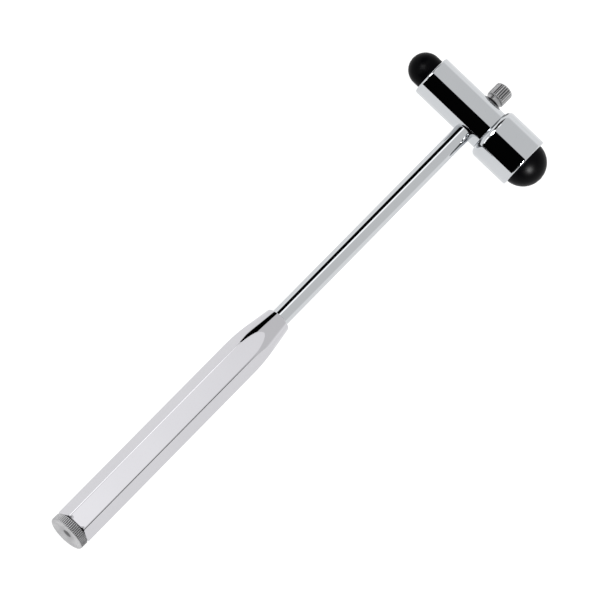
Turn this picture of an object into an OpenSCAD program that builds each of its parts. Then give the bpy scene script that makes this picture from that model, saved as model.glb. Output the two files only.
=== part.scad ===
// Neurological reflex hammer: a hexagonal handle, a round shaft and a head with two
// rubber-tipped barrels. A needle screws into the top of the head and is stored in the
// shaft; a brush screws into the bottom of the handle and is stored in it.
//
// The shaft's axis lies along X with the head towards +X. The head's axis lies along Y
// with its small end towards +Y. Z points up, and the hammer lies flat: the origin is
// the centre of the bottom of its overall box, so the large barrel touches z = 0.

/* [Overall] */
// Length from the brush cap's end face to the top of the needle knob
overall_length = 185; // [175:1:195]

/* [Handle] */
// Width across the flats of the hexagonal handle
handle_flats = 10; // [9.5:0.1:11]
// Diameter that the hexagon's corners are turned down to
handle_corner_d = 11.4; // [11:0.1:11.4]
// Length of the handle, without the brush cap
handle_length = 84.4; // [75:0.1:90]
// Length of the tapered top, from full corners to the end
taper_length = 17; // [14:0.5:22]
// Part of the taper that is a straight cone, at its end
taper_cone_length = 5.8; // [4:0.1:8]
// Diameter of the tapered end
taper_end_d = 7.8; // [7:0.1:8.4]
// Break of the edges at both ends of the handle
handle_edge = 0.3; // [0.1:0.05:0.4]

/* [Shaft] */
// Diameter of the round shaft
shaft_d = 5.5; // [5.2:0.1:6]
// Diameter of the threaded spigots at the shaft's ends
shaft_spigot_d = 4.8; // [4.4:0.1:5]
// Length of the spigot that screws into the handle
shaft_lower_spigot = 10; // [6:0.5:14]
// Diameter of the bore that stores the needle
needle_bore_d = 2.2; // [1.8:0.1:2.6]

/* [Head] */
// Diameter of the slim barrel
slim_d = 13; // [12:0.1:14]
// Length of the slim barrel, from the seam to its small end
slim_length = 23.1; // [22:0.1:26]
// Diameter of the large barrel
large_d = 16.4; // [15:0.1:18]
// Length of the large barrel, from the seam to its large end
large_length = 13.5; // [12:0.1:15]
// Radius on the barrels' outer edges
barrel_edge = 0.5; // [0.2:0.1:0.8]
// Radius on the slim barrel's edge at the seam
seam_edge = 0.2; // [0.1:0.05:0.5]
// Diameter of the slim barrel's spigot inside the large barrel
spigot_d = 9; // [8:0.5:10]
// Length of that spigot
spigot_length = 6; // [4:0.5:6.5]

/* [Rubber tips] */
// Diameter of the small tip
small_tip_d = 10; // [9:0.1:11]
// Height of the small tip outside its barrel
small_tip_height = 7; // [6:0.1:8]
// Diameter of the large tip
large_tip_d = 13.7; // [13:0.1:14]
// Height of the large tip outside its barrel
large_tip_height = 6.4; // [5.5:0.1:6.8]
// Depth of the small tip's socket
small_socket_depth = 5; // [3:0.5:8]
// Depth of the large tip's socket
large_socket_depth = 4.5; // [3:0.5:5]

/* [Needle] */
// Diameter of the knurled needle knob
knob_d = 5.6; // [5:0.1:6.5]
// Length of the knurled part
knob_length = 4.8; // [4:0.1:6]
// Diameter of the plain neck under the knurl
knob_neck_d = 4.8; // [4:0.1:4.9]
// Length of that neck
knob_neck_length = 1.3; // [0.8:0.1:2]
// Radius on the knob's top edge
knob_edge = 0.8; // [0.3:0.1:1.2]
// Number of flutes round the knob
knob_flutes = 24; // [16:1:32]
// Diameter of the thread under the knob
needle_thread_d = 3.5; // [3:0.1:4]
// Length of that thread
needle_thread_length = 5; // [4:0.5:5]
// Diameter of the needle
needle_d = 1.2; // [0.8:0.1:1.5]
// Length of the needle, from its seat in the knob to its point
needle_length = 42; // [35:1:50]
// Length of the needle's point
needle_point = 3; // [2:0.5:5]

/* [Brush] */
// Diameter of the knurled brush cap
cap_d = 11.2; // [10.8:0.1:11.6]
// Thickness of the brush cap
cap_length = 2.5; // [2:0.1:4]
// Gap between the cap and the handle's end
cap_gap = 0.25; // [0.1:0.05:0.4]
// Number of flutes round the cap
cap_flutes = 60; // [40:1:72]
// Radius on the cap's outer edge
cap_edge = 0.4; // [0.2:0.1:0.6]
// Depth of the dish in the cap's end face
cap_dish = 0.4; // [0.1:0.1:0.6]
// Diameter of the threaded plug behind the cap
plug_d = 7.2; // [6.5:0.1:7.4]
// Length of that plug
plug_length = 6; // [4:0.5:8]
// Outer diameter of the brush ferrule
ferrule_d = 5; // [4.4:0.1:5.4]
// Length of the ferrule
ferrule_length = 9; // [7:0.5:12]
// Length of the bristles outside the ferrule
bristle_length = 17; // [12:0.5:22]
// Diameter of the tuft at its free end
bristle_end_d = 5.8; // [4.6:0.1:5.8]

/* [Hidden] */
$fn = 96;

// Radial clearance of a fit between pieces that move apart
running_fit = 0.05;
// Gap under the knob's neck, and behind the needle and the ferrule in their seats
knob_gap = 0.1;
seat_clearance = 0.1;
// Depth of the knurls' flutes, the height turned off their ridges, and the radius on
// the knurls' inner edges
knob_flute_depth = 0.25;
cap_flute_depth = 0.2;
crest_cut = 0.06;
knob_near_edge = 0.3;
cap_near_edge = 0.2;
// Depth to which the shaft's full diameter enters the slim barrel
shaft_seat = 1.5;
// How far the shaft's upper spigot passes the head's axis
shaft_upper_spigot = 1;
// Depth of the seats of the needle in its knob and of the ferrule in its plug
needle_seat = 3;
ferrule_seat = 3;
// Diameter left at the needle's point
needle_tip_d = 0.1;
// Wall of the ferrule, and how far the tuft reaches into it
ferrule_wall = 0.3;
tuft_seat = 5;
// Clearances round the tuft, behind the plug, and behind the stored needle and brush
tuft_clearance = 0.3;
plug_clearance = 1;
storage_clearance = 3;
// Turning centre in the cap's end face
cap_centre_d = 2.2;
cap_centre_depth = 0.6;

shaft_z = large_d / 2;
slim_r = slim_d / 2;
large_r = large_d / 2;
// Radius of the round shoulder from the slim barrel up to the large one
shoulder_r = large_r - slim_r;
tuft_r = ferrule_d / 2 - ferrule_wall;

// Places along X
cap_face_x = -overall_length / 2;
handle_end_x = cap_face_x + cap_length + cap_gap;
taper_end_x = handle_end_x + handle_length;
lower_spigot_x = taper_end_x - shaft_lower_spigot;
head_x = overall_length / 2 - knob_length - knob_neck_length - knob_gap - slim_r;
upper_spigot_x = head_x + shaft_upper_spigot;
neck_x = head_x + slim_r + knob_gap;
needle_thread_x = neck_x - needle_thread_length;
cap_back_x = cap_face_x + cap_length;
plug_end_x = cap_back_x + plug_length;
ferrule_mouth_x = plug_end_x - ferrule_seat + ferrule_length;
tuft_end_x = ferrule_mouth_x + bristle_length;
needle_seat_x = needle_thread_x + needle_seat;
needle_tip_x = needle_seat_x - needle_length;

// Places along Y
head_length = small_tip_height + slim_length + large_length + large_tip_height;
small_end_y = head_length / 2 - small_tip_height;
seam_y = small_end_y - slim_length;
large_end_y = seam_y - large_length;

// Draws children along +X from the place x on the shaft's axis
module along_shaft(x) {
    translate([x, 0, shaft_z]) rotate([0, 90, 0]) children();
}

// Draws children along -X from the place x on the shaft's axis
module back_along_shaft(x) {
    translate([x, 0, shaft_z]) rotate([0, -90, 0]) children();
}

// Draws children along +Y, or along -Y, from the place y on the head's axis
module along_head(y) {
    translate([head_x, y, shaft_z]) rotate([-90, 0, 0]) children();
}

module back_along_head(y) {
    translate([head_x, y, shaft_z]) rotate([90, 0, 0]) children();
}

// Half profile of a round bar with a rounded edge at its near and far ends
module rounded_bar_profile(r, length, near_edge, far_edge) {
    square([r - near_edge, near_edge]);
    translate([r - near_edge, near_edge]) circle(r = near_edge);
    translate([0, near_edge]) square([r, length - near_edge - far_edge]);
    translate([r - far_edge, length - far_edge]) circle(r = far_edge);
    translate([0, length - far_edge]) square([r - far_edge, far_edge]);
}

// Outline of a straight knurl: pointed ridges with flat-bottomed flutes between them
function knurl_outline(ridge_r, flute_r, flutes) = [
    for (i = [0 : flutes - 1], corner = [[0, ridge_r], [0.3, flute_r], [0.7, flute_r]])
        let (a = (i + corner[0]) * 360 / flutes)
            [corner[1] * cos(a), corner[1] * sin(a)]
];

// Straight-knurled bar, its ridges turned down to its diameter and its ends rounded off
module knurled_bar(d, length, flutes, depth, near_edge, far_edge) {
    intersection() {
        translate([0, 0, -crest_cut]) linear_extrude(length + 2 * crest_cut)
            polygon(knurl_outline(d / 2 + crest_cut, d / 2 - depth, flutes));
        rotate_extrude() rounded_bar_profile(d / 2, length, near_edge, far_edge);
    }
}

// Half profile of the handle's turned envelope: plain, then an arc, then a cone
module handle_profile() {
    corner_r = handle_corner_d / 2;
    end_r = taper_end_d / 2;
    arc_run = taper_length - taper_cone_length;
    arc_start = handle_length - taper_length;
    cone_start = handle_length - taper_cone_length;
    // the arc leaves the corners tangentially and reaches the cone at the cone's slope
    arc_r = arc_run * (taper_cone_length + arc_run / 2) / (corner_r - end_r);
    cone_r = corner_r - arc_r + sqrt(pow(arc_r, 2) - pow(arc_run, 2));
    polygon([[0, 0], [corner_r - 2 * handle_edge, 0], [corner_r, handle_edge],
             [corner_r, arc_start], [0, arc_start]]);
    intersection() {
        translate([0, arc_start]) square([corner_r, arc_run]);
        translate([corner_r - arc_r, arc_start]) circle(r = arc_r, $fn = 720);
    }
    polygon([[0, cone_start], [cone_r, cone_start], [end_r, handle_length - handle_edge],
             [end_r - handle_edge, handle_length], [0, handle_length]]);
}

// Half profile of the large barrel, from the seam to its large end
module large_barrel_profile() {
    square([slim_r, shoulder_r]);
    translate([slim_r, shoulder_r]) circle(r = shoulder_r);
    translate([0, shoulder_r]) square([large_r, large_length - barrel_edge - shoulder_r]);
    translate([0, large_length - barrel_edge]) square([large_r - barrel_edge, barrel_edge]);
    translate([large_r - barrel_edge, large_length - barrel_edge]) circle(r = barrel_edge);
}

// Rubber tip with a ball-shaped end, drawn upwards from the bottom of its socket
module rubber_tip(d, height, socket_depth) {
    r = d / 2;
    straight = socket_depth + height - r;
    rotate_extrude() {
        square([r, straight]);
        translate([0, straight]) intersection() {
            circle(r = r);
            square(r);
        }
    }
}

module hex_handle() color("silver")
    difference() {
        along_shaft(handle_end_x) intersection() {
            rotate([0, 0, 30])
                cylinder(d = handle_flats / cos(30), h = handle_length, $fn = 6);
            rotate_extrude() handle_profile();
        }
        // threaded mouth for the cap's plug, and the chamber that stores the brush
        along_shaft(handle_end_x)
            cylinder(r = plug_d / 2 + running_fit, h = plug_length + plug_clearance);
        along_shaft(handle_end_x)
            cylinder(r = bristle_end_d / 2 + tuft_clearance,
                     h = tuft_end_x - handle_end_x + storage_clearance);
        // threaded hole for the shaft
        back_along_shaft(taper_end_x)
            cylinder(d = shaft_spigot_d, h = shaft_lower_spigot);
    }

module shaft_rod() color("gainsboro")
    difference() {
        union() {
            along_shaft(lower_spigot_x)
                cylinder(d = shaft_spigot_d, h = upper_spigot_x - lower_spigot_x);
            along_shaft(taper_end_x)
                cylinder(d = shaft_d, h = head_x - slim_r + shaft_seat - taper_end_x);
        }
        // bore that stores the needle
        back_along_shaft(upper_spigot_x)
            cylinder(d = needle_bore_d, h = upper_spigot_x - needle_tip_x + storage_clearance);
    }

module slim_barrel() color("lightgray")
    difference() {
        union() {
            along_head(seam_y) rotate_extrude()
                rounded_bar_profile(slim_r, slim_length, seam_edge, barrel_edge);
            back_along_head(seam_y) cylinder(d = spigot_d, h = spigot_length);
        }
        // seat and threaded hole for the shaft
        along_shaft(head_x - slim_r) cylinder(d = shaft_d, h = shaft_seat);
        along_shaft(head_x - slim_r)
            cylinder(d = shaft_spigot_d, h = slim_r + shaft_upper_spigot);
        // threaded hole for the needle
        along_shaft(head_x)
            cylinder(r = needle_thread_d / 2 + running_fit, h = slim_d);
        // socket for the rubber tip
        back_along_head(small_end_y) cylinder(d = small_tip_d, h = small_socket_depth);
    }

module large_barrel() color("lightgray")
    difference() {
        back_along_head(seam_y) rotate_extrude() large_barrel_profile();
        // threaded hole for the slim barrel's spigot
        back_along_head(seam_y) cylinder(d = spigot_d, h = spigot_length);
        // socket for the rubber tip
        along_head(large_end_y) cylinder(d = large_tip_d, h = large_socket_depth);
    }

module small_rubber_tip() color("dimgray")
    along_head(small_end_y - small_socket_depth)
        rubber_tip(small_tip_d, small_tip_height, small_socket_depth);

module large_rubber_tip() color("dimgray")
    back_along_head(large_end_y + large_socket_depth)
        rubber_tip(large_tip_d, large_tip_height, large_socket_depth);

module needle_knob() color("darkgray")
    difference() {
        union() {
            along_shaft(neck_x + knob_neck_length)
                knurled_bar(knob_d, knob_length, knob_flutes, knob_flute_depth,
                            knob_near_edge, knob_edge);
            along_shaft(neck_x) cylinder(d = knob_neck_d, h = knob_neck_length);
            along_shaft(needle_thread_x)
                cylinder(d = needle_thread_d, h = needle_thread_length);
        }
        // seat for the needle
        along_shaft(needle_thread_x)
            cylinder(r = needle_d / 2 + running_fit, h = needle_seat + seat_clearance);
    }

module needle_pin() color("lightsteelblue")
    back_along_shaft(needle_seat_x) {
        cylinder(d = needle_d, h = needle_length - needle_point);
        translate([0, 0, needle_length - needle_point])
            cylinder(d1 = needle_d, d2 = needle_tip_d, h = needle_point);
    }

module brush_cap() color("darkgray")
    difference() {
        dish_r = cap_d / 2 - 2 * cap_edge;
        dish_ball_r = (pow(dish_r, 2) + pow(cap_dish, 2)) / (2 * cap_dish);
        union() {
            back_along_shaft(cap_back_x)
                knurled_bar(cap_d, cap_length, cap_flutes, cap_flute_depth,
                            cap_near_edge, cap_edge);
            along_shaft(cap_back_x) cylinder(d = plug_d, h = plug_length);
        }
        // dished end face with its turning centre
        along_shaft(cap_face_x + cap_dish - dish_ball_r) sphere(r = dish_ball_r, $fn = 720);
        along_shaft(cap_face_x + cap_dish)
            cylinder(d1 = cap_centre_d, d2 = 0, h = cap_centre_depth);
        // seat for the ferrule
        back_along_shaft(plug_end_x)
            cylinder(r = ferrule_d / 2 + running_fit, h = ferrule_seat + seat_clearance);
    }

module brush_ferrule() color("goldenrod")
    difference() {
        along_shaft(plug_end_x - ferrule_seat)
            cylinder(d = ferrule_d, h = ferrule_length);
        back_along_shaft(ferrule_mouth_x)
            cylinder(r = tuft_r, h = tuft_seat);
    }

module brush_bristles() color("ivory")
    along_shaft(ferrule_mouth_x) {
        translate([0, 0, -tuft_seat]) cylinder(r = tuft_r, h = tuft_seat);
        cylinder(r1 = tuft_r, r2 = bristle_end_d / 2, h = bristle_length);
    }

hex_handle();
shaft_rod();
slim_barrel();
large_barrel();
small_rubber_tip();
large_rubber_tip();
needle_knob();
needle_pin();
brush_cap();
brush_ferrule();
brush_bristles();
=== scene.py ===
"""Looks of the reflex hammer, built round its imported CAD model.

The shaft lies along X with the head towards +X; the head's axis lies along Y with its small
end towards +Y; Z is up. Blender works in metres; the shapes below are written in millimetres.
"""
import math
import random

import bmesh
import bpy
from mathutils import Matrix, Vector


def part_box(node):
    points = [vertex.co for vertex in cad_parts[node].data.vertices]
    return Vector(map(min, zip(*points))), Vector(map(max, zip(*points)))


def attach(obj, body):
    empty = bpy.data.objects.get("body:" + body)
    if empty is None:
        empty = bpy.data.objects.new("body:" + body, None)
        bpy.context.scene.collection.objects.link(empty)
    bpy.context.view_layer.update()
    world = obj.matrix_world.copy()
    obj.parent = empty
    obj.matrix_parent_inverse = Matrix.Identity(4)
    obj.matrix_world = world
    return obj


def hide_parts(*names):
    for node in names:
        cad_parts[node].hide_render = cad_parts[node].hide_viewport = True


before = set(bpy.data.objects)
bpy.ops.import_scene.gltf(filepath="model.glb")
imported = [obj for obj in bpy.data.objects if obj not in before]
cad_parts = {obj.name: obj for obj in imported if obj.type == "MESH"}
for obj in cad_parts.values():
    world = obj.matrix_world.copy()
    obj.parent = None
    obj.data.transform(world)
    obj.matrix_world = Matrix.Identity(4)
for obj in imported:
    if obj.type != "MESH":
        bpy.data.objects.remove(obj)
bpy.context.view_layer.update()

MM = 0.001
random.seed(7)


def box_mm(node):
    """Lowest and highest corner of a CAD node, in millimetres."""
    low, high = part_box(node)
    return low / MM, high / MM


# ---------------------------------------------------------------- places from the frame

HANDLE_LOW, HANDLE_HIGH = box_mm("hex_handle")
SHAFT_LOW, SHAFT_HIGH = box_mm("shaft_rod")
SLIM_LOW, SLIM_HIGH = box_mm("slim_barrel")
LARGE_LOW, LARGE_HIGH = box_mm("large_barrel")
KNOB_LOW, KNOB_HIGH = box_mm("needle_knob")
NEEDLE_LOW, NEEDLE_HIGH = box_mm("needle_pin")
CAP_LOW, CAP_HIGH = box_mm("brush_cap")
FERRULE_LOW, FERRULE_HIGH = box_mm("brush_ferrule")
BRISTLES_LOW, BRISTLES_HIGH = box_mm("brush_bristles")

AXIS_Z = (SHAFT_LOW.z + SHAFT_HIGH.z) / 2
HEAD_X = (SLIM_LOW.x + SLIM_HIGH.x) / 2
SHOULDER_R = LARGE_HIGH.z - SLIM_HIGH.z


def on_shaft(x, radius, angle):
    """Point at a distance from the shaft's axis; angle 0 is up, and it grows towards +Y."""
    return Vector((x, radius * math.sin(angle), AXIS_Z + radius * math.cos(angle))) * MM


def on_head(y, radius, angle):
    """Point at a distance from the head's axis; angle 0 is up, and it grows towards +X."""
    return Vector((HEAD_X + radius * math.sin(angle), y, AXIS_Z + radius * math.cos(angle))) * MM


# ---------------------------------------------------------------- mesh tools

SUPPORT = 0.04  # length of the short faces that keep a rounding's shading off the long ones
FULL_CUT = 0.22  # depth of a flute or thread at which its painted shade is darkest
SHARP = math.radians(35)  # edges that turn more than this stay crisp
THREAD_STEPS = 9  # outline points to one pitch of a thread


def clamped(value):
    """Value, kept between 0 and 1."""
    return max(0.0, min(1.0, value))


def fade(value, start, end, run):
    """1 between start and end, falling to 0 at both over the length run."""
    return clamped(min((value - start) / run, (end - value) / run))


def rounded_outline(corners, steps=5):
    """Outline of (along, radius) points from corners given as (along, radius, rounding)."""
    outline = [Vector(corners[0][:2])]
    for before, corner, after in zip(corners, corners[1:], corners[2:]):
        point = Vector(corner[:2])
        back = (Vector(before[:2]) - point).normalized()
        ahead = (Vector(after[:2]) - point).normalized()
        rounding = corner[2]
        if not rounding:
            outline.append(point)
            continue
        half = back.angle(ahead) / 2
        run = rounding / math.tan(half)
        centre = point + (back + ahead).normalized() * rounding / math.sin(half)
        start = point + back * run - centre
        end = point + ahead * run - centre
        outline.append(point + back * (run + SUPPORT))
        arc = [start.slerp(end, k / steps).normalized() for k in range(steps + 1)]
        outline += [centre + direction * rounding for direction in arc]
        outline.append(point + ahead * (run + SUPPORT))
    outline.append(Vector(corners[-1][:2]))
    return outline


def add_tube(points, faces, rings, poles):
    """Adds the faces through rings of equally many points, with a fan to a pole at each end."""
    base = len(points)
    count = len(rings[0])
    for ring in rings:
        points.extend(ring)
    for i in range(len(rings) - 1):
        first = base + i * count
        for k in range(count):
            after = (k + 1) % count
            faces.append((first + k, first + after, first + count + after, first + count + k))
    for pole, first in zip(poles, (base, base + (len(rings) - 1) * count)):
        tip = len(points)
        points.append(pole)
        faces.extend((first + k, first + (k + 1) % count, tip) for k in range(count))


def make_piece(name, points, faces, material):
    """Object from points and faces: normals outward, smooth apart from its sharp edges."""
    mesh = bpy.data.meshes.new(name)
    mesh.from_pydata([tuple(point) for point in points], [], faces)
    shape = bmesh.new()
    shape.from_mesh(mesh)
    bmesh.ops.recalc_face_normals(shape, faces=shape.faces)
    for face in shape.faces:
        face.smooth = True
    for edge in shape.edges:
        edge.smooth = edge.calc_face_angle(0) < SHARP
    shape.to_mesh(mesh)
    shape.free()
    mesh.materials.append(material)
    piece = bpy.data.objects.new(name, mesh)
    bpy.context.scene.collection.objects.link(piece)
    return piece


def turned_piece(name, outline, place, material, columns=128, depth=None, painted_shade=None):
    """Solid turned about an axis from an outline that starts and ends on it.

    depth gives how far its threads and flutes are cut in, from the place along the axis, the
    radius and the angle; the cuts are painted darker, as shade, the deeper they go. The last
    argument gives how much more painted shade a place gets than its cuts do, from the place
    along the axis and the radius.
    """
    angles = [2 * math.pi * k / columns for k in range(columns)]
    rings = []
    painted_shade_levels = []
    for along, radius in outline[1:-1]:
        cuts = [depth(along, radius, angle) if depth else 0 for angle in angles]
        rings.append([place(along, radius - cut, angle) for cut, angle in zip(cuts, angles)])
        # painted shade: darker the deeper a cut goes, plus what the last argument adds
        painted_shade_levels += [cut / FULL_CUT + (painted_shade(along, radius) if painted_shade else 0) for cut in cuts]
    points, faces = [], []
    add_tube(points, faces, rings, [place(outline[0].x, 0, 0), place(outline[-1].x, 0, 0)])
    piece = make_piece(name, points, faces, material)
    painted_shade_store = piece.data.attributes.new("painted_shade", "FLOAT", "POINT")
    for item, value in zip(painted_shade_store.data, painted_shade_levels + [painted_shade_levels[0], painted_shade_levels[-1]]):
        item.value = clamped(value)
    return piece


def thread_height(along, angle, pitch):
    """Height of a thread, from 0 at its flattened root to 1 at its flattened crest."""
    turn = (along / pitch - angle / (2 * math.pi)) % 1
    flank, root = 1.6, 0.3
    return clamped(flank * abs(2 * turn - 1) - root)


def flute_height(angle, flutes):
    """Height of a straight knurl, from 0 in a flute to 1 on a flattened ridge."""
    turn = angle / (2 * math.pi) * flutes % 1
    flank, root = 1.7, 0.25
    return clamped(flank * abs(2 * turn - 1) - root)


def steps_between(start, end, step):
    """Places from start to end, about a step apart, without the two ends."""
    count = max(2, round(abs(end - start) / step))
    return [start + (end - start) * k / count for k in range(1, count)]


def threaded_run(start, end, radius, pitch):
    """Outline points close enough together along a threaded stretch to carry its thread."""
    return [Vector((along, radius)) for along in steps_between(start, end, pitch / THREAD_STEPS)]


# ---------------------------------------------------------------- node helpers

class Nodes:
    """A node tree with short calls for the nodes that the materials and the world share."""

    def __init__(self, tree):
        self.tree = tree
        tree.nodes.clear()

    def add(self, kind, **settings):
        node = self.tree.nodes.new(kind)
        for name, value in settings.items():
            setattr(node, name, value)
        return node

    def feed(self, socket, value):
        """Connects a socket to another node's output, or sets it to a value."""
        if isinstance(value, bpy.types.NodeSocket):
            self.tree.links.new(value, socket)
        else:
            socket.default_value = value

    def math(self, operation, *values):
        node = self.add("ShaderNodeMath", operation=operation)
        for socket, value in zip(node.inputs, values):
            self.feed(socket, value)
        return node.outputs[0]

    def step(self, value, start, end):
        """0 before start and 1 after end, smooth between them; end may be below start."""
        node = self.add("ShaderNodeMapRange", interpolation_type="SMOOTHSTEP")
        rising = start < end
        numbers = (value, min(start, end), max(start, end), 0 if rising else 1, 1 if rising else 0)
        for name, number in zip(("Value", "From Min", "From Max", "To Min", "To Max"), numbers):
            self.feed(node.inputs[name], number)
        return node.outputs["Result"]

    def band(self, value, low, high, soft):
        """1 between low and high, falling to 0 over the width soft outside them."""
        rise = self.step(value, low - soft, low)
        return self.math("MULTIPLY", rise, self.step(value, high + soft, high))

    def blend(self, share, first, second):
        """Number that is first where share is 0 and second where it is 1."""
        node = self.add("ShaderNodeMix", data_type="FLOAT")
        for index, value in zip((0, 2, 3), (share, first, second)):
            self.feed(node.inputs[index], value)
        return node.outputs[0]

    def blend_colour(self, share, first, second):
        """Colour that is first where share is 0 and second where it is 1."""
        node = self.add("ShaderNodeMix", data_type="RGBA")
        for index, value in zip((0, 6, 7), (share, first, second)):
            self.feed(node.inputs[index], value)
        return node.outputs[2]

    def place(self, scale=(1, 1, 1)):
        """Place on the piece, in metres times a scale, for patterns that stay on it."""
        mapping = self.add("ShaderNodeMapping")
        self.feed(mapping.inputs["Vector"], self.add("ShaderNodeTexCoord").outputs["Object"])
        self.feed(mapping.inputs["Scale"], scale)
        return mapping.outputs[0]

    def noise(self, scale, detail=2.0, stretch=(1, 1, 1)):
        node = self.add("ShaderNodeTexNoise")
        self.feed(node.inputs["Vector"], self.place(stretch))
        self.feed(node.inputs["Scale"], scale)
        self.feed(node.inputs["Detail"], detail)
        return node.outputs[0]

    def bump(self, height, strength, distance):
        node = self.add("ShaderNodeBump")
        self.feed(node.inputs["Height"], height)
        self.feed(node.inputs["Strength"], strength)
        self.feed(node.inputs["Distance"], distance)
        return node.outputs[0]


def new_material(name):
    """Material with a Principled shader wired to its output, as (material, nodes, shader)."""
    material = bpy.data.materials.new(name)
    material.use_nodes = True
    n = Nodes(material.node_tree)
    shader = n.add("ShaderNodeBsdfPrincipled")
    n.feed(n.add("ShaderNodeOutputMaterial").inputs["Surface"], shader.outputs[0])
    return material, n, shader


# ---------------------------------------------------------------- materials

# the two colours that each finish wanders between
HEAD_CHROME_TONES = ((0.525, 0.542, 0.562, 1), (0.553, 0.568, 0.585, 1))
HANDLE_CHROME_TONES = ((0.54, 0.536, 0.562, 1), (0.562, 0.557, 0.582, 1))
CAP_TONES = ((0.38, 0.38, 0.39, 1), (0.46, 0.46, 0.47, 1))
KNOB_TONES = ((0.48, 0.48, 0.48, 1), (0.56, 0.56, 0.57, 1))
NEEDLE_TONES = ((0.5, 0.5, 0.51, 1), (0.58, 0.58, 0.59, 1))
RUBBER_TONES = ((0.0008, 0.0008, 0.0017, 1), (0.0025, 0.0025, 0.0032, 1))
BRASS_TONES = ((0.78, 0.57, 0.27, 1), (0.5, 0.33, 0.14, 1))
NYLON_TONES = ((0.74, 0.7, 0.6, 1), (0.9, 0.88, 0.8, 1))
WHITE = (1, 1, 1, 1)
BLACK = (0, 0, 0, 1)

# painted shade: the colour and roughness of the most shaded cuts and corners
PAINTED_SHADE_TONE = (0.17, 0.17, 0.175, 1)
PAINTED_SHADE_ROUGHNESS = 0.5
FINE_RELIEF = 0.00001  # metres from the lowest to the highest place of a bump
COARSE_RELIEF = 0.00002
TURNED_LINES = 30000  # radians per metre: a tool mark every 0.21 mm
GROUND_LINES = 60000  # the same for a grinding mark every 0.1 mm


def chrome_plate(name, tones):
    """Mirror chromium between two tones: faint haze where it is handled, polishing hairlines."""
    material, n, shader = new_material(name)
    n.feed(shader.inputs["Base Color"], n.blend_colour(n.noise(scale=90, detail=4), *tones))
    n.feed(shader.inputs["Metallic"], 1.0)
    haze = n.step(n.noise(scale=55, detail=5), start=0.45, end=0.75)
    polished, hazy = 0.025, 0.06
    n.feed(shader.inputs["Roughness"], n.blend(haze, polished, hazy))
    hairlines = n.noise(scale=1500, detail=2, stretch=(0.04, 1, 1))
    n.feed(shader.inputs["Normal"], n.bump(hairlines, strength=0.06, distance=FINE_RELIEF))
    return material


def turned_metal(name, tones, smoothest, roughest, lines):
    """Satin metal with the fine rings of a lathe tool, uneven tone, and painted shade in its cuts and
    corners.
    """
    material, n, shader = new_material(name)
    cloud = n.step(n.noise(scale=350, detail=4), start=0.35, end=0.65)
    # painted shade stored on the mesh darkens the base colour in cuts and corners
    painted_shade = n.add("ShaderNodeAttribute", attribute_name="painted_shade").outputs["Fac"]
    clean = n.blend_colour(cloud, *tones)
    n.feed(shader.inputs["Base Color"], n.blend_colour(painted_shade, clean, PAINTED_SHADE_TONE))
    n.feed(shader.inputs["Metallic"], 1.0)
    satin = n.blend(n.noise(scale=700, detail=3), smoothest, roughest)
    n.feed(shader.inputs["Roughness"], n.blend(painted_shade, satin, PAINTED_SHADE_ROUGHNESS))
    # rings that run round the shaft's axis, on sides and end faces alike
    split = n.add("ShaderNodeSeparateXYZ")
    n.feed(split.inputs[0], n.place())
    height = n.math("SUBTRACT", split.outputs[2], AXIS_Z * MM)
    squares = n.math("ADD", n.math("POWER", split.outputs[1], 2), n.math("POWER", height, 2))
    outward = n.math("ADD", n.math("SQRT", squares), split.outputs[0])
    rings = n.math("SINE", n.math("MULTIPLY", outward, lines))
    relief = n.math("ADD", rings, n.noise(scale=2600, detail=3))
    n.feed(shader.inputs["Normal"], n.bump(relief, strength=0.35, distance=FINE_RELIEF))
    return material


def black_rubber():
    """Moulded black rubber: fine grain, greyer where it has been rubbed, unevenly dull."""
    material, n, shader = new_material("black_rubber")
    worn = n.step(n.noise(scale=160, detail=5), start=0.5, end=0.8)
    n.feed(shader.inputs["Base Color"], n.blend_colour(worn, *RUBBER_TONES))
    n.feed(shader.inputs["Roughness"], n.blend(n.noise(scale=420, detail=4), 0.26, 0.42))
    n.feed(shader.inputs["Specular IOR Level"], 0.036)
    grain = n.noise(scale=5200, detail=3)
    n.feed(shader.inputs["Normal"], n.bump(grain, strength=0.25, distance=COARSE_RELIEF))
    return material


def brass():
    """Brass tube, browner and duller where it has tarnished."""
    material, n, shader = new_material("brass")
    tarnish = n.step(n.noise(scale=420, detail=5), start=0.42, end=0.72)
    n.feed(shader.inputs["Base Color"], n.blend_colour(tarnish, *BRASS_TONES))
    n.feed(shader.inputs["Metallic"], 1.0)
    n.feed(shader.inputs["Roughness"], n.blend(tarnish, 0.18, 0.38))
    grain = n.noise(scale=3000, detail=3)
    n.feed(shader.inputs["Normal"], n.bump(grain, strength=0.15, distance=COARSE_RELIEF))
    return material


def nylon():
    """Translucent ivory filament, with a slightly different tone from hair to hair."""
    material, n, shader = new_material("nylon")
    hair = n.step(n.noise(scale=2400, detail=2, stretch=(0.02, 1, 1)), start=0.35, end=0.65)
    n.feed(shader.inputs["Base Color"], n.blend_colour(hair, *NYLON_TONES))
    n.feed(shader.inputs["Roughness"], n.blend(n.noise(scale=900, detail=2), 0.25, 0.45))
    n.feed(shader.inputs["Transmission Weight"], 0.25)
    n.feed(shader.inputs["Subsurface Weight"], 0.15)
    n.feed(shader.inputs["Subsurface Radius"], (0.0004, 0.0003, 0.0002))
    return material


def glow(name, base, strength):
    """Dull white light source with a base colour, as (material, nodes, shader)."""
    material, n, shader = new_material(name)
    n.feed(shader.inputs["Base Color"], base)
    n.feed(shader.inputs["Specular IOR Level"], 0.0)
    n.feed(shader.inputs["Emission Color"], WHITE)
    n.feed(shader.inputs["Emission Strength"], strength)
    return material, n, shader


# ---------------------------------------------------------------- camera and studio

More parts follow.
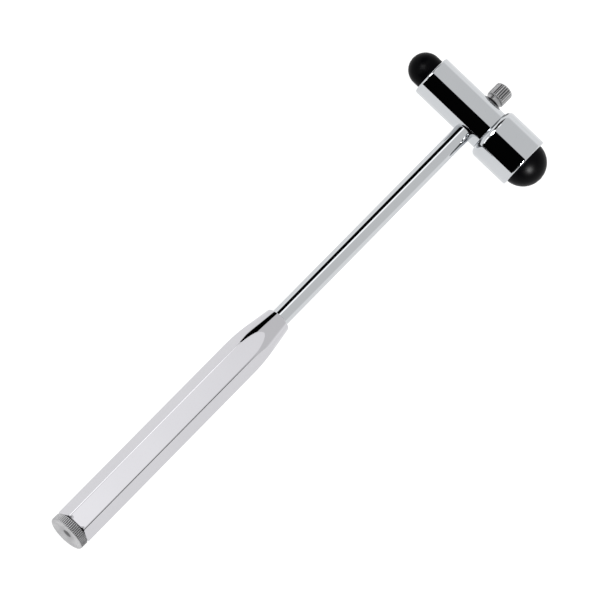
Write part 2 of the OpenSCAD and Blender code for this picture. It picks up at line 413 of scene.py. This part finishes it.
VIEW_TILT = 20.116  # degrees from straight above, towards the handle's end
VIEW_SIDE = 2.58  # degrees round the shaft, towards the large barrel
VIEW_ROLL = 45.388  # degrees that the shaft rises across the picture
VIEW_DISTANCE = 1.3904
VIEW_SENSOR = 36  # millimetres
VIEW_LENS = 299.8  # millimetres
VIEW_AIM = Vector((3.3, -0.5, AXIS_Z)) * MM

# brightness of the parts of the studio
CEILING = 0.88
WALL_FOOT = 1.2
WINDOW = 1.75
BEAM = 0.0
LIT_WALL = 1.4
UNLIT = 0.0015
BACKDROP = 1.1
FLOOR_GLOW = 0.94

DARK_ROOM_EDGE = math.radians(8)  # the unlit part of the room ends this far short of overhead
DARK_ROOM_SOFT = 0.012
CARD_FADE = 0.02  # metres over which a card fades into the ceiling
CARD_REACH = 120  # that the cards reach past the handle's end
FLOOR_HALF = 6.0  # metres
FLOOR_TONE = (0.35, 0.35, 0.35, 1)
FLOOR_GAP = 0.05  # that the floor lies below the hammer's lowest places


def place_camera():
    """Camera high over the handle's end, with the hammer lying across the picture's diagonal."""
    tilt, side, roll = (math.radians(angle) for angle in (VIEW_TILT, VIEW_SIDE, VIEW_ROLL))
    back = Vector((-math.sin(tilt), -math.cos(tilt) * math.sin(side), math.cos(tilt) * math.cos(side)))
    along = (Vector((1, 0, 0)) - back.x * back).normalized()
    across = along.cross(back)
    right = along * math.cos(roll) + across * math.sin(roll)
    up = along * math.sin(roll) - across * math.cos(roll)
    camera = bpy.data.objects.new("camera", bpy.data.cameras.new("camera"))
    camera.data.lens = VIEW_LENS
    camera.data.sensor_width = VIEW_SENSOR
    camera.data.clip_start = 0.05
    turn = Matrix((right, up, back)).transposed().to_4x4()
    camera.matrix_world = Matrix.Translation(VIEW_AIM + back * VIEW_DISTANCE) @ turn
    bpy.context.scene.collection.objects.link(camera)
    bpy.context.scene.camera = camera


def light_studio():
    """Pale studio with an unlit part beyond the handle, which gives the chrome its black stripes.

    It is painted by direction: x, y and z run from -1 to 1, along the object's own axes.
    """
    world = bpy.data.worlds.new("studio")
    bpy.context.scene.world = world
    world.use_nodes = True
    n = Nodes(world.node_tree)
    split = n.add("ShaderNodeSeparateXYZ")
    n.feed(split.inputs[0], n.add("ShaderNodeTexCoord").outputs["Generated"])
    x, y, z = split.outputs
    # pale ceiling, brighter towards the foot of the walls
    level = n.blend(n.step(z, start=0.3, end=0.02), CEILING, WALL_FOOT)
    # bright window high on the small end's side
    window_y = n.band(y, low=0.3, high=0.5, soft=0.05)
    window_x = n.band(x, low=0.22, high=0.46, soft=0.06)
    level = n.blend(n.math("MULTIPLY", window_y, window_x), level, WINDOW)
    # dark beam below it and a lit wall below that, both on the head's side only
    head_side = n.step(x, start=-0.08, end=0.02)
    beam = n.math("MULTIPLY", n.band(y, low=0.53, high=0.88, soft=0.02), n.step(z, start=0.16, end=0.24))
    level = n.blend(n.math("MULTIPLY", beam, head_side), level, BEAM)
    wall = n.step(y, start=0.9, end=0.93)
    level = n.blend(n.math("MULTIPLY", wall, head_side), level, LIT_WALL)
    # unlit part of the room, from the floor beyond the handle to just short of overhead
    edge_x = n.math("MULTIPLY", x, math.cos(DARK_ROOM_EDGE))
    edge_z = n.math("MULTIPLY", z, math.sin(DARK_ROOM_EDGE))
    beyond = n.step(n.math("ADD", edge_x, edge_z), start=DARK_ROOM_SOFT, end=-DARK_ROOM_SOFT)
    unlit = n.math("MULTIPLY", beyond, n.step(z, start=-0.01, end=0.01))
    level = n.blend(n.math("MULTIPLY", unlit, n.step(y, start=0.34, end=0.22)), level, UNLIT)
    # behind the object there is plain white
    seen = n.add("ShaderNodeLightPath").outputs["Is Camera Ray"]
    background = n.add("ShaderNodeBackground")
    n.feed(background.inputs["Color"], WHITE)
    n.feed(background.inputs["Strength"], n.blend(seen, level, BACKDROP))
    n.feed(n.add("ShaderNodeOutputWorld").inputs["Surface"], background.outputs[0])


def softbox(name, direction, distance, size, power, aim, spread, lit=None):
    """Softbox that shows in reflections, a distance along a direction from where it is aimed.

    Size and distance are in metres, and aim in millimetres. It is flagged off everything but
    the objects in lit, where those are given.
    """
    light = bpy.data.lights.new(name, "AREA")
    light.shape = "RECTANGLE"
    light.size, light.size_y = size
    light.energy = power
    light.spread = math.radians(spread)
    lamp = bpy.data.objects.new(name, light)
    away = Vector(direction).normalized()
    lamp.location = Vector(aim) * MM + away * distance
    lamp.rotation_mode = "QUATERNION"
    lamp.rotation_quaternion = away.to_track_quat("Z", "Y")
    lamp.visible_camera = False
    lamp.visible_diffuse = False
    bpy.context.scene.collection.objects.link(lamp)
    if lit:
        lamp.light_linking.receiver_collection = bpy.data.collections.new(name + "_lit")
        for item in lit:
            lamp.light_linking.receiver_collection.objects.link(item)


def add_sheet(name, corners, material):
    """Object of one face between four corners."""
    mesh = bpy.data.meshes.new(name)
    mesh.from_pydata([tuple(corner) for corner in corners], [], [(0, 1, 2, 3)])
    mesh.materials.append(material)
    sheet = bpy.data.objects.new(name, mesh)
    bpy.context.scene.collection.objects.link(sheet)
    return sheet


def reflected_card(name, corners, level):
    """Card that shows only in the polished metal, and fades into the ceiling towards the head."""
    material, n, shader = glow(name, BLACK, level)
    split = n.add("ShaderNodeSeparateXYZ")
    n.feed(split.inputs[0], n.place())
    head_end = max(corner.x for corner in corners)
    fading = n.step(split.outputs[0], head_end - CARD_FADE, head_end)
    n.feed(shader.inputs["Emission Strength"], n.blend(fading, level, CEILING))
    card = add_sheet(name, corners, material)
    card.visible_camera = False
    card.visible_diffuse = False
    card.visible_shadow = False


def handle_cards():
    """White and dark cards along the handle's two sides, which draw its edges."""
    foot_x = HANDLE_LOW.x - CARD_REACH
    # name, one long edge and the other as (y, z), end towards the head, brightness
    cards = (
        ("white_card", (95, 25), (60, 74), 16, 1.15),
        ("bright_card", (60, 74), (45, 95), 16, 2.5),
        ("dark_card", (-95, 25), (-45, 95), 20, 0.05),
    )
    for name, first_edge, second_edge, head_x, level in cards:
        corners = [
            (foot_x, *first_edge),
            (head_x, *first_edge),
            (head_x, *second_edge),
            (foot_x, *second_edge),
        ]
        reflected_card(name, [Vector(corner) * MM for corner in corners], level)


def lay_floor():
    """White floor through the three points that the hammer rests on: cap, shoulder and slim end."""
    cap_rim = Vector((CAP_LOW.x, 0, CAP_LOW.z - FLOOR_GAP))
    shoulder = Vector((HEAD_X, LARGE_HIGH.y - SHOULDER_R, LARGE_LOW.z - FLOOR_GAP))
    slim_end = Vector((HEAD_X, SLIM_HIGH.y, SLIM_LOW.z - FLOOR_GAP))
    normal = (shoulder - cap_rim).cross(slim_end - cap_rim).normalized()
    material, n, shader = glow("floor_white", FLOOR_TONE, FLOOR_GLOW)
    n.feed(shader.inputs["Roughness"], 0.9)
    signs = ((-1, -1), (1, -1), (1, 1), (-1, 1))
    corners = [(FLOOR_HALF * side_x, FLOOR_HALF * side_y, 0) for side_x, side_y in signs]
    floor = add_sheet("floor", corners, material)
    floor.rotation_mode = "QUATERNION"
    floor.rotation_quaternion = normal.to_track_quat("Z", "Y")
    floor.location = shoulder * MM


# ---------------------------------------------------------------- handle

HEX_R = HANDLE_HIGH.z - AXIS_Z  # from the axis to a flat
CORNER_R = HANDLE_HIGH.y  # that the hexagon's corners are turned down to
TAPER = 17.0
TAPER_CONE = 5.8  # the part of the taper that is straight
TAPER_END_R = 3.9
HANDLE_EDGE = 0.3
HANDLE_BEVEL = 0.12
BUFFED = 0.11  # how far the polishing has softened the edges between flats and turned corners
CAP_PITCH = 0.75
CAP_THREAD_DEPTH = 0.3
MOUTH_R = 3.65
MOUTH_DEPTH = 7.0
MOUTH_BEVEL = 0.35
CHAMBER_R = 3.2
CHAMBER_BACK = 3.0  # room behind the stored brush
CHAMBER_CONE = 1.5
SHAFT_HOLE_R = 2.42
SHAFT_HOLE_DEPTH = 10.0

ARC_RUN = TAPER - TAPER_CONE
ARC_START = HANDLE_HIGH.x - TAPER
CONE_START = HANDLE_HIGH.x - TAPER_CONE
ARC_R = ARC_RUN * (TAPER_CONE + ARC_RUN / 2) / (CORNER_R - TAPER_END_R)
CONE_R = CORNER_R - ARC_R + math.sqrt(ARC_R**2 - ARC_RUN**2)
LAND = math.acos(HEX_R / CORNER_R)  # from the middle of a flat to its turned corner


def turned_radius(x):
    """Radius of the handle's turned envelope: plain, then an arc, then a cone."""
    if x <= ARC_START:
        return CORNER_R
    if x <= CONE_START:
        return CORNER_R - ARC_R + math.sqrt(ARC_R**2 - (x - ARC_START) ** 2)
    return CONE_R + (TAPER_END_R - CONE_R) * (x - CONE_START) / TAPER_CONE


def flat_radius(turn):
    """Distance from the axis to the handle's side, at an angle from the middle of its flat."""
    flat = HEX_R / math.cos(turn)
    near = max(0.0, 1 - abs(flat - CORNER_R) / BUFFED)
    return min(CORNER_R, flat) - near**2 * BUFFED / 4


def flat_end(turn):
    """Place along the handle where the turned taper cuts off the flat, at that angle."""
    sunk = flat_radius(turn) - CORNER_R + ARC_R
    return ARC_START + math.sqrt(max(0.0, ARC_R**2 - sunk**2))


def handle_turns():
    """Angles from one flat's middle to both its corners, close together where its edges are."""
    wide_steps = 9
    wide_end = LAND - math.radians(2.6)
    edge_degrees = (-2.3, -1.7, -1.1, -0.5, 0.1, 0.7)
    inner = [LAND * math.sin(math.pi / 2 * k / wide_steps) for k in range(wide_steps)]
    inner = [turn for turn in inner if turn < wide_end]
    inner += [LAND + math.radians(degrees) for degrees in edge_degrees]
    return [-turn for turn in reversed(inner[1:])] + inner + [math.radians(30)]


def make_handle(material):
    """Hexagonal handle with scalloped taper, threaded mouth, brush chamber and shaft hole."""
    turns = handle_turns()
    columns = [(turn, flat * math.pi / 3 + turn) for flat in range(6) for turn in turns]
    top, end = HANDLE_HIGH.x, HANDLE_LOW.x
    hole_end = top - SHAFT_HOLE_DEPTH
    mouth_end = end + MOUTH_DEPTH
    chamber_end = BRISTLES_HIGH.x + CHAMBER_BACK

    def ring(place_along, place_radius):
        return [on_shaft(place_along(turn), place_radius(turn), angle) for turn, angle in columns]

    def round_ring(x, radius):
        return ring(lambda turn: x, lambda turn: radius)

    def arc_ring(share):
        """Ring on the turned arc, at a share of the way from each flat's end to the cone."""
        def place_along(turn):
            return flat_end(turn) + (CONE_START - flat_end(turn)) * share
        return ring(place_along, lambda turn: turned_radius(place_along(turn)))

    def chamfer_ring(x, cut):
        """Ring on the chamfer, at a distance from the handle's end."""
        chamfer_r = CORNER_R - 2 * HANDLE_EDGE + 2 * x
        return ring(lambda turn: end + x, lambda turn: min(flat_radius(turn), chamfer_r) - cut)

    # shaft hole
    rings = [
        round_ring(hole_end, SHAFT_HOLE_R),
        round_ring(top - HANDLE_BEVEL, SHAFT_HOLE_R),
        round_ring(top, SHAFT_HOLE_R + HANDLE_BEVEL),
    ]
    # turned end and cone
    turned_end = rounded_outline([
        (top, SHAFT_HOLE_R + 2 * HANDLE_BEVEL, 0),
        (top, TAPER_END_R - 0.02, HANDLE_EDGE),
        (CONE_START, CONE_R, 0),
    ])
    rings += [round_ring(along, radius) for along, radius in turned_end[1:-1]]
    cone_top = top - HANDLE_EDGE - SUPPORT
    for share in (0.25, 0.5, 0.75, 1.0):
        x = cone_top + (CONE_START - cone_top) * share
        rings.append(round_ring(x, turned_radius(x)))
    # arc, down to where each flat begins
    for share in (0.88, 0.76, 0.64, 0.52, 0.4, 0.29, 0.19, 0.1, 0.04, 0.012):
        rings.append(arc_ring(share))
    # flats, down to the chamfer at the handle's end
    for back in (0.12, 0.5):
        rings.append(ring(lambda turn: flat_end(turn) - back, flat_radius))
    for x in (ARC_START - 1, (ARC_START + end) / 2, end + 1):
        rings.append(ring(lambda turn: x, flat_radius))
    rings += [
        chamfer_ring(HANDLE_EDGE, 0),
        chamfer_ring(HANDLE_BEVEL, 0),
        chamfer_ring(HANDLE_BEVEL / 3, HANDLE_BEVEL / 4),
        chamfer_ring(0, HANDLE_BEVEL),
    ]
    # end face, threaded mouth and brush chamber
    rings += [round_ring(end, MOUTH_R + MOUTH_BEVEL + 0.1), round_ring(end, MOUTH_R + MOUTH_BEVEL)]
    thread_x = end + 0.3
    for along, radius in threaded_run(thread_x, mouth_end, MOUTH_R, CAP_PITCH):
        depth = CAP_THREAD_DEPTH * fade(along, thread_x, mouth_end, run=0.5)
        rings.append([
            on_shaft(along, radius + depth * (1 - thread_height(along, angle, CAP_PITCH)), angle)
            for _, angle in columns
        ])
    rings += [
        round_ring(mouth_end, MOUTH_R),
        round_ring(mouth_end + 0.5, CHAMBER_R),
        round_ring(chamber_end - CHAMBER_CONE, CHAMBER_R),
    ]
    points, faces = [], []
    add_tube(points, faces, rings, [on_shaft(hole_end, 0, 0), on_shaft(chamber_end, 0, 0)])
    return make_piece("handle_body", points, faces, material)


# ---------------------------------------------------------------- shaft

SHAFT_R = SHAFT_HIGH.z - AXIS_Z
SHAFT_EDGE = 0.12
SHAFT_SEAT = 1.5  # depth to which the full diameter enters the slim barrel
SPIGOT_R = 2.4
SPIGOT_PITCH = 0.8
SPIGOT_THREAD_DEPTH = 0.22
BORE_R = 1.1
BORE_BACK = 3  # room behind the stored needle
BORE_CONE = 0.6


def make_shaft(material):
    """Shaft with a threaded spigot in the handle, a plain one in the head, and the needle's bore."""
    seat_x = SLIM_LOW.x + SHAFT_SEAT
    bore_end = NEEDLE_LOW.x - BORE_BACK
    outline = rounded_outline([
        (SHAFT_LOW.x, 0, 0),
        (SHAFT_LOW.x, SPIGOT_R, 0.3),
        (HANDLE_HIGH.x, SPIGOT_R, 0),
    ])[:-1]
    outline += threaded_run(SHAFT_LOW.x + 0.4, HANDLE_HIGH.x - 0.6, SPIGOT_R, SPIGOT_PITCH)
    outline += rounded_outline([
        (HANDLE_HIGH.x - 0.5, SPIGOT_R, 0),
        (HANDLE_HIGH.x, SPIGOT_R, 0),
        (HANDLE_HIGH.x, SHAFT_R, SHAFT_EDGE),
        (seat_x, SHAFT_R, SHAFT_EDGE),
        (seat_x, SPIGOT_R, 0),
        (SHAFT_HIGH.x, SPIGOT_R, 0.2),
        (SHAFT_HIGH.x, BORE_R, 0.1),
        (bore_end, BORE_R, 0),
        (bore_end - BORE_CONE, 0, 0),
    ])

    def depth(along, radius, angle):
        thread = SPIGOT_THREAD_DEPTH * fade(along, SHAFT_LOW.x + 0.3, HANDLE_HIGH.x - 0.6, run=0.8)
        return thread * (1 - thread_height(along, angle, SPIGOT_PITCH))

    return turned_piece("shaft", outline, on_shaft, material, columns=96, depth=depth)


# ---------------------------------------------------------------- rubber tips

TIP_STEPS = 33
TIP_INSET = 0.02  # that the ball lies inside its CAD ball
LIP_DEPTH = 0.12
LIP_WIDTH = 0.3
MARK_SHARE = 0.16  # radius of the ring left by the mould, as a share of the tip's radius
MARK_DEPTH = 0.05
MARK_HALF = 0.2


def make_tip(name, node, direction, material):
    """Ball-ended rubber tip: straight in its socket, a soft lip at the mouth, a moulding mark."""
    low, high = box_mm(node)
    radius = (high.x - low.x) / 2
    if direction > 0:
        foot, top, mouth = low.y, high.y, SLIM_HIGH.y
    else:
        foot, top, mouth = high.y, low.y, LARGE_LOW.y
    centre = top - direction * radius
    outline = rounded_outline([
        (foot, 0, 0),
        (foot, radius, 0.4),
        (mouth - direction * LIP_WIDTH, radius, 0.2),
        (mouth - direction * TIP_INSET, radius - LIP_DEPTH, 0.1),
        (mouth + direction * LIP_WIDTH, radius - TIP_INSET, 0),
    ])
    ball_r = radius - TIP_INSET
    start = math.asin(clamped(((mouth - centre) * direction + LIP_WIDTH + 0.05) / radius))
    for k in range(TIP_STEPS):
        lift = start + (math.pi / 2 - start) * k / TIP_STEPS
        outward = ball_r * math.cos(lift)
        sink = MARK_DEPTH if abs(outward - MARK_SHARE * radius) < MARK_HALF else 0.0
        outline.append(Vector((centre + direction * (ball_r - sink) * math.sin(lift), outward)))
    outline.append(Vector((top - direction * TIP_INSET, 0)))
    return turned_piece(name, outline, on_head, material, columns=96)


# ---------------------------------------------------------------- needle

KNOB_R = KNOB_HIGH.z - AXIS_Z
KNOB_LENGTH = 4.8
KNOB_ROUNDING = 0.85
KNOB_FLUTES = 24
KNOB_FLUTE_DEPTH = 0.26
NECK_R = 2.4
NECK_LENGTH = 1.3
NEEDLE_THREAD_R = 1.75
NEEDLE_THREAD_DEPTH = 0.2
NEEDLE_UNDERCUT = 0.25
NEEDLE_PITCH = 0.5
NEEDLE_R = 0.6
NEEDLE_POINT = 3.0
SEAT_PLAY = 0.05  # round a needle or ferrule in the seat that holds it
SEAT_GAP = 0.1  # behind it


def make_knob(material):
    """Knob of the needle: knurl with a rounded top, plain neck, threaded shank, needle seat."""
    knurl_x = KNOB_HIGH.x - KNOB_LENGTH
    neck_x = knurl_x - NECK_LENGTH
    seat_r = NEEDLE_R + SEAT_PLAY
    seat_x = NEEDLE_HIGH.x + SEAT_GAP
    outline = rounded_outline([
        (seat_x, 0, 0),
        (seat_x, seat_r, 0),
        (KNOB_LOW.x, seat_r, 0.1),
        (KNOB_LOW.x, NEEDLE_THREAD_R, 0.25),
        (KNOB_LOW.x + 0.6, NEEDLE_THREAD_R, 0),
    ])[:-1]
    outline += threaded_run(KNOB_LOW.x + 0.4, neck_x - 0.3, NEEDLE_THREAD_R, NEEDLE_PITCH)
    outline += rounded_outline([
        (neck_x - 0.25, NEEDLE_THREAD_R, 0),
        (neck_x - 0.2, NEEDLE_THREAD_R - NEEDLE_UNDERCUT, 0),
        (neck_x, NEEDLE_THREAD_R - NEEDLE_UNDERCUT, 0),
        (neck_x, NECK_R, 0.15),
        (knurl_x, NECK_R, 0.05),
        (knurl_x, KNOB_R, 0.25),
        (knurl_x + 0.5, KNOB_R, 0),
    ])[:-1]
    flutes_end = KNOB_HIGH.x - KNOB_ROUNDING
    outline += [Vector((x, KNOB_R)) for x in steps_between(knurl_x + 0.3, flutes_end, 0.25)]
    outline += rounded_outline([
        (flutes_end - 0.05, KNOB_R, 0),
        (KNOB_HIGH.x, KNOB_R, KNOB_ROUNDING),
        (KNOB_HIGH.x, 0.5, 0),
        (KNOB_HIGH.x - 0.12, 0, 0),
    ], steps=8)

    def depth(along, radius, angle):
        thread = NEEDLE_THREAD_DEPTH * fade(along, KNOB_LOW.x + 0.2, neck_x - 0.3, run=0.5)
        flute = KNOB_FLUTE_DEPTH * fade(along, knurl_x, KNOB_HIGH.x - 0.1, run=0.45)
        flute *= clamped((radius - NECK_R) / (KNOB_R - NECK_R))
        thread *= 1 - thread_height(along, angle, NEEDLE_PITCH)
        return thread + flute * (1 - flute_height(angle, KNOB_FLUTES))

    def painted_shade(along, radius):
        # painted shade where the neck meets the barrel and in the corner under the knurl
        under_neck = fade(along, neck_x - 1, neck_x + 0.35, run=0.3)
        under_knurl = fade(along, knurl_x - 0.2, knurl_x + 0.2, run=0.1)
        return 0.8 * under_neck + 0.5 * under_knurl

    return turned_piece("knob", outline, on_shaft, material, KNOB_FLUTES * 8, depth, painted_shade)


def make_needle(material):
    """Needle with a ground point."""
    high, low = NEEDLE_HIGH.x, NEEDLE_LOW.x
    bevel = 0.1
    blunt = 0.07  # radius at the point's end, as a share of the needle's
    profile = [
        (high, 0),
        (high, NEEDLE_R - bevel),
        (high - bevel, NEEDLE_R),
        (low + NEEDLE_POINT + bevel, NEEDLE_R),
    ]
    for share in (1.0, 0.9, 0.75, 0.55, 0.35, 0.18, 0.06):
        profile.append((low + NEEDLE_POINT * share, NEEDLE_R * (blunt + (1 - blunt) * share)))
    profile += [(low + 0.02, 0.03), (low, 0)]
    outline = [Vector(point) for point in profile]
    return turned_piece("needle", outline, on_shaft, material, columns=48)


# ---------------------------------------------------------------- brush

CAP_R = CAP_HIGH.z - AXIS_Z
CAP_LENGTH = 2.5
CAP_FLUTES = 60
CAP_FLUTE_DEPTH = 0.2
CAP_EDGE = 0.4
CAP_DISH = 0.4
CENTRE_R = 1.35  # of the turning centre in the cap's end face
CENTRE_DEPTH = 0.6
PLUG_R = 3.6
PLUG_UNDERCUT = 0.35
FERRULE_R = FERRULE_HIGH.z - AXIS_Z
FERRULE_WALL = 0.3
CRIMP_DEPTH = 0.2
CRIMP_HALF = 0.4
BRISTLE_R = 0.095
BRISTLE_COUNT = 230
BRISTLE_STEPS = 7  # along a bristle, outside the ferrule


def make_cap(material):
    """Cap of the brush: fine knurl, dished end face with a turning centre, threaded plug."""
    face, back = CAP_LOW.x, CAP_LOW.x + CAP_LENGTH
    seat_r = FERRULE_R + SEAT_PLAY
    seat_x = FERRULE_LOW.x - SEAT_GAP
    rim_r = CAP_R - 2 * CAP_EDGE
    outline = rounded_outline([
        (seat_x, 0, 0),
        (seat_x, seat_r, 0),
        (CAP_HIGH.x, seat_r, 0.1),
        (CAP_HIGH.x, PLUG_R, 0.3),
        (CAP_HIGH.x - 0.7, PLUG_R, 0),
    ])[:-1]
    outline += threaded_run(CAP_HIGH.x - 0.5, back + 0.6, PLUG_R, CAP_PITCH)
    outline += rounded_outline([
        (back + 0.5, PLUG_R, 0),
        (back + 0.4, PLUG_R - PLUG_UNDERCUT, 0),
        (back, PLUG_R - PLUG_UNDERCUT, 0),
        (back, CAP_R, 0.2),
        (back - 0.5, CAP_R, 0),
    ])[:-1]
    outline += [Vector((x, CAP_R)) for x in steps_between(back - 0.25, face + CAP_EDGE + 0.05, 0.2)]
    outline += rounded_outline([
        (face + 0.5, CAP_R, 0),
        (face, CAP_R, CAP_EDGE),
        (face, rim_r, 0.15),
        (face + 0.1, rim_r - 0.6, 0),
    ])[1:-1]
    # shallow ball-shaped dish, then the cone of the turning centre
    ball_r = (rim_r**2 + CAP_DISH**2) / (2 * CAP_DISH)
    dish_r = rim_r + 0.05
    dish_steps = 11
    for k in range(1, dish_steps + 1):
        radius = dish_r + (CENTRE_R - dish_r) * k / dish_steps
        outline.append(Vector((face + CAP_DISH - ball_r + math.sqrt(ball_r**2 - radius**2), radius)))
    outline.append(Vector((outline[-1].x + 0.05, CENTRE_R - 0.1)))
    outline.append(Vector((face + CAP_DISH + CENTRE_DEPTH, 0)))

    def depth(along, radius, angle):
        on_plug = radius > seat_r + 0.3
        thread = CAP_THREAD_DEPTH * on_plug * fade(along, back + 0.55, CAP_HIGH.x - 0.2, run=0.5)
        flute = CAP_FLUTE_DEPTH * fade(along, face + 0.1, back, run=0.25)
        flute *= fade(radius, CAP_R - 0.3, math.inf, run=0.25)
        thread *= 1 - thread_height(along, angle, CAP_PITCH)
        return thread + flute * (1 - flute_height(angle, CAP_FLUTES))

    def painted_shade(along, radius):
        # painted shade in the turning centre, and darker towards the middle of the end face
        on_face = along < face + CAP_DISH + 0.9
        round_centre = max(0.0, 1 - radius / (0.6 * CAP_R))
        return on_face * ((radius < CENTRE_R) + 0.5 * round_centre)

    return turned_piece("cap", outline, on_shaft, material, CAP_FLUTES * 6, depth, painted_shade)


def make_ferrule(material):
    """Brass ferrule, crimped on the bristles by two grooves and rounded at its mouth."""
    low, high = FERRULE_LOW.x, FERRULE_HIGH.x
    inner_r = FERRULE_R - FERRULE_WALL
    corners = [(low, 0, 0), (low, FERRULE_R, 0.15)]
    for groove in (high - 4.0, high - 2.4):
        corners += [
            (groove - CRIMP_HALF, FERRULE_R, 0.15),
            (groove, FERRULE_R - CRIMP_DEPTH, 0.2),
            (groove + CRIMP_HALF, FERRULE_R, 0.15),
        ]
    corners += [
        (high, FERRULE_R, 0.1),
        (high, inner_r, 0.08),
        (BRISTLES_LOW.x, inner_r, 0),
        (BRISTLES_LOW.x, 0, 0),
    ]
    return turned_piece("ferrule", rounded_outline(corners), on_shaft, material, columns=96)


def make_bristles(material):
    """Tuft of separate nylon filaments: parallel in the ferrule, spreading and bending outside it."""
    foot, mouth, tip = BRISTLES_LOW.x + 0.05, FERRULE_HIGH.x, BRISTLES_HIGH.x
    bundle_r = FERRULE_R - FERRULE_WALL - BRISTLE_R - 0.04
    end_r = BRISTLES_HIGH.z - AXIS_Z - BRISTLE_R - 0.05
    golden = math.pi * (3 - math.sqrt(5))
    sides = [math.pi / 3 * side for side in range(6)]
    hexagon = [Vector((0, math.sin(side), math.cos(side))) * BRISTLE_R * MM for side in sides]
    points, faces = [], []
    for k in range(BRISTLE_COUNT):
        share = math.sqrt((k + 0.5) / BRISTLE_COUNT)
        angle = k * golden
        length = (tip - mouth) * random.uniform(0.93, 0.995)
        lean = angle + random.gauss(0, 0.25)
        end_share = min(1.0, share * random.uniform(0.85, 1.1) + random.uniform(0, 0.06))
        path = [(foot, bundle_r * share, angle)]
        for step in range(BRISTLE_STEPS + 1):
            out = step / BRISTLE_STEPS
            spread = out**1.5
            radius = bundle_r * share * (1 - spread) + end_r * end_share * spread
            path.append((mouth + length * out, radius, angle + (lean - angle) * spread))
        rings = [[on_shaft(*place) + corner for corner in hexagon] for place in path]
        _, radius, turn = path[-1]
        poles = [on_shaft(*path[0]), on_shaft(mouth + length + 0.04, radius, turn)]
        add_tube(points, faces, rings, poles)
    return make_piece("bristles", points, faces, material)


# ---------------------------------------------------------------- assembly

def mount(piece, body, node):
    """Puts a piece on its body in place of its CAD node."""
    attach(piece, body)
    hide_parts(node)


def repaint(node, material):
    """Gives a CAD node that stays in view its material."""
    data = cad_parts[node].data
    data.materials.clear()
    data.materials.append(material)


bpy.context.scene.view_settings.view_transform = "Standard"
place_camera()
light_studio()
lay_floor()
handle_cards()
softbox(
    "handle_strip", direction=(0.15, 0.05, 0.988), distance=0.1, size=(0.03, 0.081), power=0.0002,
    aim=(-36.5, 0, HANDLE_HIGH.z), spread=30,
)

CHROME = chrome_plate("chrome_plate", HEAD_CHROME_TONES)
HANDLE_CHROME = chrome_plate("handle_chrome", HANDLE_CHROME_TONES)
KNURLED = turned_metal("satin_knurl", CAP_TONES, 0.22, 0.34, TURNED_LINES)
KNOB_METAL = turned_metal("knob_metal", KNOB_TONES, 0.1, 0.2, TURNED_LINES)
STEEL = turned_metal("needle_steel", NEEDLE_TONES, 0.12, 0.2, GROUND_LINES)
RUBBER = black_rubber()

for chrome_node in ("slim_barrel", "large_barrel"):
    repaint(chrome_node, CHROME)
mount(make_handle(HANDLE_CHROME), "hammer", "hex_handle")
mount(make_shaft(CHROME), "hammer", "shaft_rod")
small_tip = make_tip("small_tip", "small_rubber_tip", 1, RUBBER)
large_tip = make_tip("large_tip", "large_rubber_tip", -1, RUBBER)
mount(small_tip, "hammer", "small_rubber_tip")
mount(large_tip, "hammer", "large_rubber_tip")
mount(make_knob(KNOB_METAL), "needle_screw", "needle_knob")
mount(make_needle(STEEL), "needle", "needle_pin")
mount(make_cap(KNURLED), "brush_screw", "brush_cap")
mount(make_ferrule(brass()), "brush", "brush_ferrule")
mount(make_bristles(nylon()), "brush", "brush_bristles")

head = (small_tip, large_tip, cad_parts["slim_barrel"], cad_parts["large_barrel"])
softbox(
    "key", direction=(-0.28, -0.775, 0.57), distance=0.9, size=(0.22, 0.22), power=30,
    aim=(50, 0, AXIS_Z), spread=180, lit=head,
)
softbox(
    "fill", direction=(-0.32, 0.40, 0.86), distance=0.9, size=(0.35, 0.35), power=5,
    aim=(80, 20, AXIS_Z), spread=180, lit=head,
)
